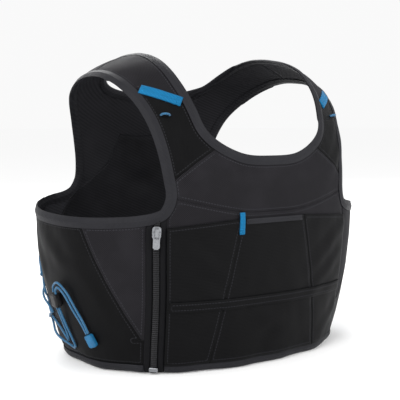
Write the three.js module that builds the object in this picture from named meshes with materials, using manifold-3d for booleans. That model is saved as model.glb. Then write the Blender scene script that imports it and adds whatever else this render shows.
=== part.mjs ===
// Running hydration vest in its worn form: stretch panels sewn into an open shell with bound edges,
// flat pockets, a zip below the right armhole and a laced strip on each side.
// Millimetres. +Z is up, the wearer faces -Y and the wearer's right side is -X.
// The origin lies between the shoulder straps, at the height where shoulders carry them.
import * as THREE from 'three';
import Module from 'manifold-3d';
import { mergeVertices } from 'three/addons/utils/BufferGeometryUtils.js';

// Body form that the vest is shaped on.
const CHEST_HALF_WIDTH = 170;
const CHEST_FRONT_DEPTH = 118;
const CHEST_BACK_DEPTH = 120;
const HEM_HALF_WIDTH = 142;
const HEM_FRONT_DEPTH = 106;
const HEM_BACK_DEPTH = 96;
const CROWN_HEIGHT = 298;
const CHEST_LEVEL = 0.44 * CROWN_HEIGHT;
const TAPER_SWELL = 1.8;
const PLAN_ROUNDNESS = 2.3;
const SHOULDER_ROUNDNESS = 2.8;

// Cloth, edges and trims.
const CLOTH = 1.5;
const POCKET_CLOTH = 1.6;
const MESH_CLOTH = 1.1;
const GAP = 0.3;
const BINDING_WIDTH = 6.5;
const BINDING_PROUD = 0.7;
const BINDING_GAP = 0.5;
const HEM_BINDING_WIDTH = 7;
const TAB_THICKNESS = 1.2;
const STRAP_TAB_WIDTH = 9;
const TAB_SEAM_ACROSS = 98;
const TAB_SEAM_LEVEL = 0.838 * CROWN_HEIGHT;
const POCKET_TAB_WIDTH = 5;
const POCKET_TAB_LENGTH = 20;
const NAPE_TAB_WIDTH = 12;
const NAPE_TAB_LENGTH = 17;
const NAPE_TAB_TOP = 0.828 * CROWN_HEIGHT;
const NAPE_PIPING_WIDTH = 5;
const BAND_TOP = 0.226 * CROWN_HEIGHT;
const BAND_WIDTH = 10;
const BAND_THICKNESS = 1.0;
const POCKET_HEM_WIDTH = 5;

// Lower front.
const YOKE_SEAM_LEVEL = 0.487 * CROWN_HEIGHT;
const POCKET_TOP_LEVEL = 0.467 * CROWN_HEIGHT;
const POCKET_TOP_DROP = 0.019 * CROWN_HEIGHT;
const POCKET_SEAM_TOP = 36;
const POCKET_SEAM_HEM = 61;
const MIDDLE_HEM = 50;

// Seams: distance across or ahead where each bends and at the hem, and the height of the bend.
const ZIP_FRONT = { bend: 103, hem: 99, level: 0.23 * CROWN_HEIGHT };
const ZIP_SIDE = { bend: 119, hem: 114, level: 0.23 * CROWN_HEIGHT };
const LACE_FRONT = { bend: 38, hem: -12, level: 0.23 * CROWN_HEIGHT };
const LACE_BACK = { bend: 72, hem: 24, level: 0.268 * CROWN_HEIGHT };
const NAPE_SIDE = { bend: 48, level: 0.797 * CROWN_HEIGHT };
const WING = { bend: 44, level: 0.605 * CROWN_HEIGHT };
const BACK_HEM = 100;
const NAPE_BOTTOM_LEVEL = 0.713 * CROWN_HEIGHT;
const NAPE_BOTTOM_HALF_WIDTH = 30;

// Zip.
const ZIP_TAPE_SHARE = 0.35;
const CHAIN_PROUD = 1.3;
const CHAIN_SUNK = 0.4;
const GUSSET_TIP_LEVEL = 0.146 * CROWN_HEIGHT;
const GUSSET_TIP_WIDTH = 4;
const SLIDER_LENGTH = 11;
const SLIDER_WIDTH = 8;
const SLIDER_PLATE = 1.6;
const SLIDER_DROP = 9;
const ARCH_WIDTH = 3;
const ARCH_LENGTH = 8.8;
const ARCH_HEIGHT = 3.8;
const ARCH_WALL = 1.2;
const ARCH_FOOT = 0.8;
const PULL_LENGTH = 15;
const PULL_WIDTH = 7;
const PULL_THICKNESS = 1.2;
const PULL_RAIL = 1.2;
const PULL_EYE_LENGTH = 4.6;
const PULL_AXIS = 1.25;
const PULL_WAIST = 0.5;
const PULL_CORNER = 1.5;
const STOP_LENGTH = 4;
const ZIP_CLEARANCE = 0.04;

// Lacing.
const LACE_DIAMETER = 2.2;
const LACE_SIDES = 6;
const LACE_ROWS = 7;
const LACE_TOP_SHARE = 0.05;
const LACE_BOTTOM_SHARE = 0.94;
const LACE_EDGE = 0.1;
const LACE_TURN = 2;
const LACE_PASS_GAP = 1.4;
const LOCK_LENGTH = 13;
const LOCK_WIDTH = 10;
const LOCK_DEPTH = 7;
const LOCK_AHEAD = -3;
const LOCK_LEVEL = 0.207 * CROWN_HEIGHT;
const TAIL_DIAMETER = 2.2;
const TAIL_SIDES = 8;
const TAIL_SPREAD = 4.4;
const END_TAB_LENGTH = 13;
const END_TAB_WIDTH = 9;
const END_TAB_DEPTH = 5;
const LOOP_RADIUS = 4;
const LOOP_ACROSS = 99;
const LOOP_LEVEL = 0.778 * CROWN_HEIGHT;
const LOOP_CORD = 1.8;

// Middle line of the two tails, from the cord lock to the end tab: behind the vest's middle, above the lock's
// middle, how far each tail keeps from that line, and the height of its middle over the form.
const TAIL_ROUTE = [
  { ahead: -3.3, up: 7.3, apart: 2.2, height: 5.3 },
  { ahead: -5, up: 12, apart: 2.3, height: 5.4 },
  { ahead: -12, up: 16, apart: 2.4, height: 5.6 },
  { ahead: -21, up: 10, apart: 2.5, height: 5 },
  { ahead: -28, up: -5, apart: 2.4, height: 4 },
  { ahead: -34, up: -18, apart: 1.8, height: 3.8 },
  { ahead: -37, up: -26.9, apart: 1.3, height: 4.3 },
];
const END_TAB_AHEAD = -38.8;
const END_TAB_DROP = 33.4;

// Where the shoulders carry the straps, above the hem.
const SHOULDER_SEAT = CROWN_HEIGHT - 11;

// Colours of the cloth and the trims.
const CHARCOAL = new THREE.MeshStandardMaterial({ color: 0x29282b, roughness: 0.85, metalness: 0 });
const BLACK = new THREE.MeshStandardMaterial({ color: 0x161616, roughness: 0.8, metalness: 0 });
const BINDING = new THREE.MeshStandardMaterial({ color: 0x323234, roughness: 0.75, metalness: 0 });
const NET = new THREE.MeshStandardMaterial({ color: 0x38383a, roughness: 0.9, metalness: 0 });
const BLUE = new THREE.MeshStandardMaterial({ color: 0x1e82b8, roughness: 0.6, metalness: 0 });
const SILVER = new THREE.MeshStandardMaterial({ color: 0xc0c2c6, roughness: 0.35, metalness: 0.9 });
const ZIP_TAPE = new THREE.MeshStandardMaterial({ color: 0x1c1c1d, roughness: 0.8, metalness: 0 });
const ZIP_CHAIN = new THREE.MeshStandardMaterial({ color: 0x2e2e30, roughness: 0.45, metalness: 0 });

// The armhole's edge on the wearer's right, from the shoulder seam forward, under the arm and up the back.
// face: which side of the form. across: share of the chest's half width. up: share of the crown height,
// or on the crown and the side, ahead: share of the back depth. steps: stations to the next row.
const ARMHOLE = [
  { face: 'crown', across: 0.694, ahead: 0.04, steps: 3 },
  { face: 'front', across: 0.676, up: 0.858, steps: 2 },
  { face: 'front', across: 0.635, up: 0.778, steps: 2 },
  { face: 'front', across: 0.606, up: 0.69, steps: 2 },
  { face: 'front', across: 0.582, up: 0.586, steps: 2 },
  { face: 'front', across: 0.576, up: 0.533, steps: 2 },
  { face: 'front', across: 0.618, up: 0.479, steps: 2 },
  { face: 'front', across: 0.712, up: 0.46, steps: 2 },
  { face: 'front', across: 0.835, up: 0.452, steps: 2 },
  { face: 'front', across: 0.947, up: 0.448, steps: 3 },
  { face: 'side', ahead: 0.08, up: 0.452, steps: 3 },
  { face: 'back', across: 0.894, up: 0.467, steps: 2 },
  { face: 'back', across: 0.794, up: 0.479, steps: 4 },
  { face: 'back', across: 0.559, up: 0.498, steps: 4 },
  { face: 'back', across: 0.474, up: 0.567, steps: 2 },
  { face: 'back', across: 0.488, up: 0.67, steps: 2 },
  { face: 'back', across: 0.547, up: 0.778, steps: 3 },
  { face: 'back', across: 0.641, up: 0.866, steps: 3 },
];
// Rows of the armhole where panels meet it.
const AT = {
  shoulder: 0, tab: 1, yoke: 4, base: 5, zip: 6, gusset: 7, side: 9, laceFront: 12, laceBack: 13, wing: 14,
};

// The neck's edge on the wearer's right, from the front centre to the back centre.
const NECK = [
  { face: 'front', across: 0, up: 0.63, steps: 3 },
  { face: 'front', across: 0.194, up: 0.637, steps: 3 },
  { face: 'front', across: 0.353, up: 0.678, steps: 3 },
  { face: 'front', across: 0.435, up: 0.727, steps: 3 },
  { face: 'front', across: 0.476, up: 0.812, steps: 3 },
  { face: 'crown', across: 0.471, ahead: 0.04, steps: 3 },
  { face: 'back', across: 0.424, up: 0.889, steps: 3 },
  { face: 'back', across: 0.282, up: 0.854, steps: 3 },
  { face: 'back', across: 0, up: 0.839, steps: 3 },
];
const NECK_AT = { centre: 0, yoke: 2, tab: 4, shoulder: 5, nape: 6, back: 8 };

const vector = (x, y, z) => new THREE.Vector3(x, y, z);
const mix = (a, b, share) => a.clone().lerp(b, share);

// Half width or depth of the form at height z, drawn in towards the hem.
function tapered(chest, hem, z) {
  const below = Math.max(0, 1 - z / CHEST_LEVEL);
  return chest - (chest - hem) * below ** TAPER_SWELL;
}
const halfWidth = (z) => tapered(CHEST_HALF_WIDTH, HEM_HALF_WIDTH, z);
const frontDepth = (z) => tapered(CHEST_FRONT_DEPTH, HEM_FRONT_DEPTH, z);
const backDepth = (z) => tapered(CHEST_BACK_DEPTH, HEM_BACK_DEPTH, z);

// 1 on the form, less inside it.
function fullness(x, y, z) {
  const depth = y < 0 ? frontDepth(z) : backDepth(z);
  const plan = Math.abs(x / halfWidth(z)) ** PLAN_ROUNDNESS + Math.abs(y / depth) ** PLAN_ROUNDNESS;
  const climb = Math.max(0, (z - CHEST_LEVEL) / (CROWN_HEIGHT - CHEST_LEVEL));
  const round = SHOULDER_ROUNDNESS;
  return (plan ** (round / PLAN_ROUNDNESS) + climb ** round) ** (1 / round);
}

// Moves a point onto the form: level below the chest, towards the form's middle above it.
function snap(p) {
  const full = fullness(p.x, p.y, p.z);
  const z = p.z > CHEST_LEVEL ? CHEST_LEVEL + (p.z - CHEST_LEVEL) / full : p.z;
  return vector(p.x / full, p.y / full, z);
}

function outward(p) {
  const nudge = 0.05;
  const along = (x, y, z) =>
    fullness(p.x + x, p.y + y, p.z + z) - fullness(p.x - x, p.y - y, p.z - z);
  return vector(along(nudge, 0, 0), along(0, nudge, 0), along(0, 0, nudge)).normalize();
}
const lift = (p, height) => p.clone().addScaledVector(outward(p), height);

// Share of the plan's size that is left at height z, towards the crown.
function shrink(z) {
  const climb = Math.max(0, (z - CHEST_LEVEL) / (CROWN_HEIGHT - CHEST_LEVEL));
  return (1 - climb ** SHOULDER_ROUNDNESS) ** (1 / SHOULDER_ROUNDNESS);
}
const rest = (share) => Math.max(0, 1 - share ** PLAN_ROUNDNESS) ** (1 / PLAN_ROUNDNESS);

// Points of the form on the wearer's right, by distance across and height.
function onFront(across, z) {
  const size = shrink(z);
  return vector(-across, -frontDepth(z) * size * rest(Math.abs(across) / (halfWidth(z) * size)), z);
}
function onBack(across, z) {
  const size = shrink(z);
  return vector(-across, backDepth(z) * size * rest(Math.abs(across) / (halfWidth(z) * size)), z);
}
function onSide(y, z) {
  const depth = y < 0 ? frontDepth(z) : backDepth(z);
  return vector(-halfWidth(z) * shrink(z) * rest(Math.abs(y) / (depth * shrink(z))), y, z);
}
function onCrown(across, y) {
  const plan = (across / CHEST_HALF_WIDTH) ** PLAN_ROUNDNESS + (y / CHEST_BACK_DEPTH) ** PLAN_ROUNDNESS;
  const climb = (1 - plan ** (SHOULDER_ROUNDNESS / PLAN_ROUNDNESS)) ** (1 / SHOULDER_ROUNDNESS);
  return vector(-across, y, CHEST_LEVEL + (CROWN_HEIGHT - CHEST_LEVEL) * climb);
}
function spot(row) {
  const across = (row.across ?? 0) * CHEST_HALF_WIDTH;
  const ahead = (row.ahead ?? 0) * CHEST_BACK_DEPTH;
  const z = (row.up ?? 0) * CROWN_HEIGHT;
  if (row.face === 'crown') return onCrown(across, ahead);
  if (row.face === 'side') return onSide(ahead, z);
  return row.face === 'front' ? onFront(across, z) : onBack(across, z);
}

const mirror = (points) => points.map((p) => vector(-p.x, p.y, p.z));
const reversed = (points) => [...points].reverse();
// Joins runs of points end to end, each run starting where the last one ends.
const join = (...runs) => runs.reduce((all, run) => [...all, ...run.slice(1)]);

// Stations of a closed edge, as one run of points for each row.
function edgeRuns(rows, points) {
  const curve = new THREE.CatmullRomCurve3(points, true, 'centripetal');
  return rows.map((row, i) => {
    const count = row.steps;
    const share = (k) => ((i + k / count) / rows.length) % 1;
    return Array.from({ length: count + 1 }, (_, k) => snap(curve.getPoint(share(k))));
  });
}

// An open seam through a few points, with a number of equal steps.
function seam(points, steps) {
  const curve = new THREE.CatmullRomCurve3(points, false, 'centripetal');
  return Array.from({ length: steps + 1 }, (_, k) => snap(curve.getPoint(k / steps)));
}

const armRuns = edgeRuns(ARMHOLE, ARMHOLE.map(spot));
// The armhole's stations from one row to a later one, passing the last row to the first.
function arm(from, to) {
  const count = (to - from + ARMHOLE.length) % ARMHOLE.length;
  return join(...Array.from({ length: count }, (_, i) => armRuns[(from + i) % ARMHOLE.length]));
}
const leftHalf = NECK.slice(1, -1).reverse();
const neckRows = [...NECK, ...leftHalf].map((row, i) => {
  const last = NECK.length - 1;
  return i < last ? row : { ...row, steps: NECK[2 * last - i - 1].steps };
});
const neckPoints = [...NECK.map(spot), ...mirror(leftHalf.map(spot))];
const neckRuns = edgeRuns(neckRows, neckPoints);
const neck = (from, to) => join(...neckRuns.slice(from, to));

// Closed body from rings of points: each ring is closed, and flat fans close the ends of an open row.
function loft(rings, closed) {
  const size = rings[0].length;
  const position = rings.flat().flatMap((p) => [p.x, p.y, p.z]);
  const index = [];
  const spans = closed ? rings.length : rings.length - 1;
  for (let i = 0; i < spans; i += 1) {
    const next = (i + 1) % rings.length;
    for (let j = 0; j < size; j += 1) {
      const k = (j + 1) % size;
      const [a, b, c, d] = [i * size + j, i * size + k, next * size + k, next * size + j];
      index.push(a, b, c, a, c, d);
    }
  }
  if (!closed) {
    const end = (rings.length - 1) * size;
    for (let j = 1; j < size - 1; j += 1) {
      index.push(0, j + 1, j);
      index.push(end, end + j, end + j + 1);
    }
  }
  return facingOut(position, index);
}

// An indexed geometry, turned round if its faces point inwards.
function facingOut(position, index) {
  const at = (i) => vector(position[3 * i], position[3 * i + 1], position[3 * i + 2]);
  let volume = 0;
  for (let i = 0; i < index.length; i += 3) {
    volume += at(index[i]).dot(at(index[i + 1]).cross(at(index[i + 2])));
  }
  if (volume < 0) {
    for (let i = 0; i < index.length; i += 3) [index[i + 1], index[i + 2]] = [index[i + 2], index[i + 1]];
  }
  const geometry = new THREE.BufferGeometry();
  geometry.setAttribute('position', new THREE.Float32BufferAttribute(position, 3));
  geometry.setIndex(index);
  geometry.computeVertexNormals();
  return geometry;
}

// Points of a panel between four edges. bottom and top run the same way, and so do left and right.
function weave(bottom, top, left, right) {
  const columns = bottom.length - 1;
  const rows = left.length - 1;
  const corners = [bottom[0], bottom[columns], top[0], top[columns]];
  const grid = [];
  for (let j = 0; j <= rows; j += 1) {
    const v = j / rows;
    grid.push(bottom.map((_, i) => {
      const u = i / columns;
      const across = mix(left[j], right[j], u);
      const up = mix(bottom[i], top[i], v);
      const plane = mix(mix(corners[0], corners[1], u), mix(corners[2], corners[3], u), v);
      return snap(across.add(up).sub(plane));
    }));
  }
  return grid;
}

// Draws a panel's edge in, so that neighbours keep the gap.
function drawIn(grid, inset) {
  const rows = grid.length - 1;
  const columns = grid[0].length - 1;
  return grid.map((row, j) => row.map((p, i) => {
    const moved = p.clone();
    const towards = (q, from, to) => {
      const edge = to.clone().sub(from).normalize();
      const step = q.clone().sub(p);
      moved.addScaledVector(step.addScaledVector(edge, -step.dot(edge)).normalize(), inset);
    };
    const [below, above] = [grid[Math.max(0, j - 1)][i], grid[Math.min(rows, j + 1)][i]];
    const [before, after] = [row[Math.max(0, i - 1)], row[Math.min(columns, i + 1)]];
    if (i === 0) towards(row[1], below, above);
    if (i === columns) towards(row[columns - 1], below, above);
    if (j === 0) towards(grid[1][i], before, after);
    if (j === rows) towards(grid[rows - 1][i], before, after);
    return moved;
  }));
}

// A cloth wall over a grid of points, from one height over the form to another.
function wall(grid, low, high) {
  const rows = grid.length;
  const columns = grid[0].length;
  const flat = grid.flat();
  const points = [...flat.map((p) => lift(p, low)), ...flat.map((p) => lift(p, high))];
  const top = rows * columns;
  const index = [];
  const quad = (a, b, c, d) => index.push(a, b, c, a, c, d);
  for (let j = 0; j < rows - 1; j += 1) {
    for (let i = 0; i < columns - 1; i += 1) {
      const a = j * columns + i;
      quad(top + a, top + a + 1, top + a + columns + 1, top + a + columns);
      quad(a, a + columns, a + columns + 1, a + 1);
    }
  }
  const side = (a, b) => quad(a, b, top + b, top + a);
  for (let i = 0; i < columns - 1; i += 1) {
    side(i, i + 1);
    side((rows - 1) * columns + i + 1, (rows - 1) * columns + i);
  }
  for (let j = 0; j < rows - 1; j += 1) {
    side((j + 1) * columns, j * columns);
    side(j * columns + columns - 1, (j + 1) * columns + columns - 1);
  }
  return facingOut(points.flatMap((p) => [p.x, p.y, p.z]), index);
}

const panel = (edges, low, high) => wall(drawIn(weave(...edges), GAP * 0.6), low, high);

// The form's normal and the mitred direction beside a run of stations, to the right of its travel.
function stationFrame(points, i, closed) {
  const count = points.length;
  const before = closed ? points[(i + count - 1) % count] : points[Math.max(0, i - 1)];
  const after = closed ? points[(i + 1) % count] : points[Math.min(count - 1, i + 1)];
  const normal = outward(points[i]);
  const besideOf = (from, to) => to.clone().sub(from).cross(normal).normalize();
  const beside = besideOf(before, after);
  const slantest = Math.min(
    i > 0 || closed ? beside.dot(besideOf(before, points[i])) : 1,
    i < count - 1 || closed ? beside.dot(besideOf(points[i], after)) : 1,
  );
  return { beside: beside.divideScalar(Math.max(slantest, 0.6)), normal };
}

// A flat strip of even width, centred on a run of stations.
function ribbon(points, width, low, high) {
  const edge = (share) => points.map((p, i) => {
    const { beside } = stationFrame(points, i, false);
    return snap(p.clone().addScaledVector(beside, width * share));
  });
  return wall([edge(-0.5), edge(0), edge(0.5)], low, high);
}

// Where a run that goes down or up crosses a height.
function atLevel(points, z) {
  const i = points.findIndex((p, k) => k > 0 && (p.z - z) * (points[k - 1].z - z) <= 0);
  const [a, b] = [points[i - 1], points[i]];
  return snap(mix(a, b, (z - a.z) / (b.z - a.z)));
}

// A cord of even thickness through a few points.
function cordAlong(points, diameter, sides, steps) {
  const ring = Array.from({ length: sides }, (_, k) => {
    const turn = (2 * Math.PI * k) / sides;
    return new THREE.Vector2((Math.cos(turn) * diameter) / 2, (Math.sin(turn) * diameter) / 2);
  });
  const extrudePath = new THREE.CatmullRomCurve3(points, false, 'centripetal');
  return new THREE.ExtrudeGeometry(new THREE.Shape(ring), { extrudePath, steps });
}

// Places a piece made with X across, Y up the cloth and Z off it, at a point of the form.
function seat(geometry, p, up, height) {
  const normal = outward(p);
  const across = up.clone().cross(normal).normalize();
  const frame = new THREE.Matrix4().makeBasis(across, normal.clone().cross(across), normal);
  return geometry.applyMatrix4(frame.setPosition(lift(p, height)));
}

// A rounded block with softened edges, lying flat on Z = 0.
function pebble(length, width, depth, roundness, bevel) {
  const [l, w] = [length / 2 - bevel, width / 2 - bevel];
  const r = roundness - bevel;
  const shape = new THREE.Shape();
  shape.moveTo(-w + r, -l);
  shape.absarc(w - r, -l + r, r, -Math.PI / 2, 0);
  shape.absarc(w - r, l - r, r, 0, Math.PI / 2);
  shape.absarc(-w + r, l - r, r, Math.PI / 2, Math.PI);
  shape.absarc(-w + r, -l + r, r, Math.PI, Math.PI * 1.5);
  const edge = { bevelSize: bevel, bevelThickness: bevel, bevelSegments: 1 };
  const options = { ...edge, depth: depth - 2 * bevel, curveSegments: 2 };
  return new THREE.ExtrudeGeometry(shape, options).translate(0, 0, bevel);
}

// A folded edge strip beside a run of stations: it stands off by the gap and reaches over to one side.
function piping(points, { closed, turn, width, low, high }) {
  const bulge = 0.35;
  const crush = 0.55;
  const section = [[BINDING_GAP, low], [BINDING_GAP, high], [width / 2, high + bulge], [width, high - crush],
    [width, low + crush], [width / 2, low - bulge]];
  const rings = points.map((p, i) => {
    const { beside, normal } = stationFrame(points, i, closed);
    return section.map(([s, h]) => p.clone().addScaledVector(beside, s * turn).addScaledVector(normal, h));
  });
  return loft(rings, closed);
}

const BINDING_SECTION = { width: BINDING_WIDTH, low: -BINDING_PROUD, high: CLOTH + BINDING_PROUD };

const vest = new THREE.Group();
const body = new THREE.Group();
body.position.z = -SHOULDER_SEAT;
vest.add(body);

function add(name, geometry, material) {
  const mesh = new THREE.Mesh(geometry, material);
  mesh.name = name;
  body.add(mesh);
  return mesh;
}
function addBoth(name, make, material) {
  add(`${name}_right`, make((points) => points), material);
  add(`${name}_left`, make(mirror), material);
}

// Seams on the wearer's right that two panels share.
const hemZ = HEM_BINDING_WIDTH;
const yokeMiddle = [onFront(POCKET_SEAM_TOP, YOKE_SEAM_LEVEL), onFront(0, YOKE_SEAM_LEVEL - 1)];
const yokeSeam = seam([arm(AT.base, AT.zip)[0], ...yokeMiddle], 6);
const yokeSeamWhole = join(yokeSeam, reversed(mirror(yokeSeam)));
const pocketSeam = seam([arm(AT.yoke, AT.base)[0], neck(0, NECK_AT.yoke).at(-1)], 4);
const tabMiddle = onFront(TAB_SEAM_ACROSS, TAB_SEAM_LEVEL);
const tabSeam = seam([arm(AT.tab, AT.yoke)[0], tabMiddle, neck(0, NECK_AT.tab).at(-1)], 4);
const shoulderSeam = seam([arm(AT.shoulder, AT.tab)[0], neck(0, NECK_AT.shoulder).at(-1)], 4);
const zipFront = seam([arm(AT.zip, AT.gusset)[0],
  onFront(ZIP_FRONT.bend, ZIP_FRONT.level), onFront(ZIP_FRONT.hem, hemZ)], 10);
const zipSide = seam([arm(AT.gusset, AT.side)[0],
  onFront(ZIP_SIDE.bend, ZIP_SIDE.level), onFront(ZIP_SIDE.hem, hemZ)], 10);
const laceFrontSeam = seam([arm(AT.laceFront, AT.laceBack)[0],
  onSide(LACE_FRONT.bend, LACE_FRONT.level), onSide(LACE_FRONT.hem, hemZ)], 8);
const laceBackSeam = seam([arm(AT.laceBack, AT.wing)[0],
  onSide(LACE_BACK.bend, LACE_BACK.level), onSide(LACE_BACK.hem, hemZ)], 8);
const napeCorner = onBack(NAPE_BOTTOM_HALF_WIDTH, NAPE_BOTTOM_LEVEL);
const napeSide = seam([neck(0, NECK_AT.nape).at(-1), onBack(NAPE_SIDE.bend, NAPE_SIDE.level), napeCorner], 3);
const wingSeam = seam([napeCorner, onBack(WING.bend, WING.level), arm(AT.laceBack, AT.wing)[0]], 4);
const napeBottom = seam([napeCorner, onBack(0, NAPE_BOTTOM_LEVEL - 2), mirror([napeCorner])[0]], 12);

// Upper chest, straps and the panels at the back.
const yokeSide = join(reversed(arm(AT.yoke, AT.base)), pocketSeam);
const neckFront = neck(0, NECK_AT.yoke);
const yokeEdges = [yokeSeamWhole, join(reversed(neckFront), mirror(neckFront)), yokeSide, mirror(yokeSide)];
add('front_yoke', panel(yokeEdges, 0, CLOTH), CHARCOAL);
addBoth('strap_pocket', (side) => panel([side(pocketSeam), side(tabSeam),
  side(reversed(arm(AT.tab, AT.yoke))), side(neck(NECK_AT.yoke, NECK_AT.tab))], 0, CLOTH), BLACK);
addBoth('shoulder', (side) => panel([side(tabSeam), side(shoulderSeam),
  side(reversed(arm(AT.shoulder, AT.tab))), side(neck(NECK_AT.tab, NECK_AT.shoulder))], 0, CLOTH), CHARCOAL);
const wingInner = join(neck(NECK_AT.shoulder, NECK_AT.nape), napeSide, wingSeam);
addBoth('back_wing', (side) => panel([side(shoulderSeam), side(reversed(arm(AT.laceBack, AT.wing))),
  side(reversed(arm(AT.wing, AT.shoulder))), side(wingInner)], 0, CLOTH), CHARCOAL);
const neckBack = neck(NECK_AT.nape, NECK_AT.back);
add('nape_panel', panel([napeBottom, join(neckBack, reversed(mirror(neckBack))),
  reversed(napeSide), mirror(reversed(napeSide))], 0, CLOTH), CHARCOAL);
const backSide = join(wingSeam, laceBackSeam);
const backHem = seam([laceBackSeam.at(-1), onBack(BACK_HEM, hemZ), onBack(0, hemZ),
  mirror([onBack(BACK_HEM, hemZ)])[0], mirror(laceBackSeam).at(-1)], 12);
add('back_panel', panel([napeBottom, backHem, backSide, mirror(backSide)], 0, CLOTH), BLACK);

// Laced strips, side panels and gussets.
const laceHem = seam([laceFrontSeam.at(-1), laceBackSeam.at(-1)], 4);
addBoth('lace_panel', (side) => panel([side(arm(AT.laceFront, AT.laceBack)), side(laceHem),
  side(laceFrontSeam), side(laceBackSeam)], 0, MESH_CLOTH), NET);

// Lower front, from the left seam to the zip.
const middleHem = onFront(MIDDLE_HEM, hemZ);
const frontHemHalf = [zipFront.at(-1), middleHem];
const frontHem = seam([...frontHemHalf, ...reversed(mirror(frontHemHalf))], 12);
const baseSide = join(arm(AT.base, AT.zip), zipFront);
add('front_base', panel([yokeSeamWhole, frontHem, baseSide, mirror(baseSide)], 0, CLOTH), CHARCOAL);

// The side panel's hem, from its front line back to the laced strip.
function sideHem(frontLine) {
  const [front, back] = [frontLine.at(-1), laceFrontSeam.at(-1)];
  return seam([front, snap(mix(front, back, 0.5)), back], 8);
}

// A gusset and the side panel below it. Their front line is the zip's, or the front's seam on the left.
function sidePanels(name, side, frontLine, from) {
  const top = arm(from, AT.side);
  const cut = frontLine.findIndex((p) => p.z < GUSSET_TIP_LEVEL);
  const tipFront = frontLine[cut];
  const tipBack = snap(tipFront.clone().add(vector(-GUSSET_TIP_WIDTH, 0, 0)));
  const tipSeam = seam([tipFront, tipBack], top.length - 1);
  const slant = seam([top.at(-1), tipBack], cut);
  const gussetEdges = [side(top), side(tipSeam), side(frontLine.slice(0, cut + 1)), side(slant)];
  add(`gusset_${name}`, panel(gussetEdges, 0, CLOTH), CHARCOAL);
  const sideFront = join(slant, [tipBack, tipFront], frontLine.slice(cut));
  const sideBack = seam(laceFrontSeam.filter((_, i) => i % 2 === 0), sideFront.length - 1);
  const sideEdges = [arm(AT.side, AT.laceFront), sideHem(frontLine), sideFront, sideBack];
  add(`side_panel_${name}`, panel(sideEdges.map(side), 0, CLOTH), BLACK);
}
sidePanels('right', (points) => points, zipSide, AT.gusset);
sidePanels('left', mirror, zipFront, AT.zip);

// Pockets over the lower front.
const onBase = CLOTH + GAP;
const onPocket = onBase + POCKET_CLOTH + GAP;
const pocketSide = seam([onFront(POCKET_SEAM_TOP, POCKET_TOP_LEVEL), onFront(POCKET_SEAM_HEM, hemZ)], 8);
const pocketOuterTop = atLevel(zipFront, POCKET_TOP_LEVEL - POCKET_TOP_DROP);
const pocketOuter = seam([pocketOuterTop, atLevel(zipFront, ZIP_FRONT.level), zipFront.at(-1)], 8);
const sidePocketTop = seam([pocketOuterTop, pocketSide[0]], 4);
const sidePocketHem = seam([zipFront.at(-1), pocketSide.at(-1)], 4);
const sidePocketEdges = [sidePocketTop, sidePocketHem, pocketOuter, pocketSide];
addBoth('chest_pocket', (side) => panel(sidePocketEdges.map(side), onBase, onBase + POCKET_CLOTH), BLACK);
const acrossSeams = (z, steps) => {
  const p = atLevel(pocketSide, z);
  return seam([p, onFront(0, z), ...mirror([p])], steps);
};
const centreEdges = [acrossSeams(POCKET_TOP_LEVEL, 8), acrossSeams(hemZ, 8), pocketSide, mirror(pocketSide)];
add('chest_pocket_centre', panel(centreEdges, onBase, onBase + POCKET_CLOTH), BLACK);
const hemFoldEnd = onFront(POCKET_SEAM_TOP - 3, POCKET_TOP_LEVEL - POCKET_HEM_WIDTH / 2);
const hemFoldLine = seam([hemFoldEnd, onFront(0, hemFoldEnd.z), ...mirror([hemFoldEnd])], 6);
add('pocket_hem', ribbon(hemFoldLine, POCKET_HEM_WIDTH, onPocket, onPocket + BAND_THICKNESS), BINDING);
const bandEnd = atLevel(zipFront, BAND_TOP - BAND_WIDTH / 2).add(vector(2, 0, 0));
const bandHalf = [bandEnd, onFront(MIDDLE_HEM, bandEnd.z)];
const bandLine = seam([...bandHalf, onFront(0, bandEnd.z), ...reversed(mirror(bandHalf))], 14);
add('pocket_band', ribbon(bandLine, BAND_WIDTH, onPocket, onPocket + BAND_THICKNESS), BLACK);

// Bound edges.
const armLoop = join(arm(0, ARMHOLE.length - 1), arm(ARMHOLE.length - 1, 0)).slice(1);
const loopBinding = (points, turn) => piping(points, { ...BINDING_SECTION, closed: true, turn });
add('armhole_binding_right', loopBinding(armLoop, 1), BINDING);
add('armhole_binding_left', loopBinding(mirror(armLoop), -1), BINDING);
add('neck_binding', loopBinding(neck(0, neckRows.length).slice(1), 1), BINDING);
const leftHem = join(frontHem, mirror(sideHem(zipFront)), mirror(laceHem));
const hemStations = join(leftHem, reversed(backHem), reversed(laceHem), reversed(sideHem(zipSide)));
const [hemStart, hemEnd] = [mix(hemStations[0], hemStations[1], ZIP_CLEARANCE),
  mix(hemStations.at(-1), hemStations.at(-2), ZIP_CLEARANCE)];
const hemLine = [snap(hemStart), ...hemStations.slice(1, -1), snap(hemEnd)];
const hemSection = { ...BINDING_SECTION, width: HEM_BINDING_WIDTH, closed: false, turn: 1 };
add('hem_binding', piping(hemLine, hemSection), BINDING);
const napeDown = seam([mix(napeSide[0], napeSide[1], 0.5), napeSide[1], napeSide[2], napeCorner], 6);
const napeLine = join(napeDown, napeBottom, mirror(reversed(napeDown)));
add('nape_piping', ribbon(napeLine, NAPE_PIPING_WIDTH, onBase, onBase + BAND_THICKNESS), BINDING);

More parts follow.
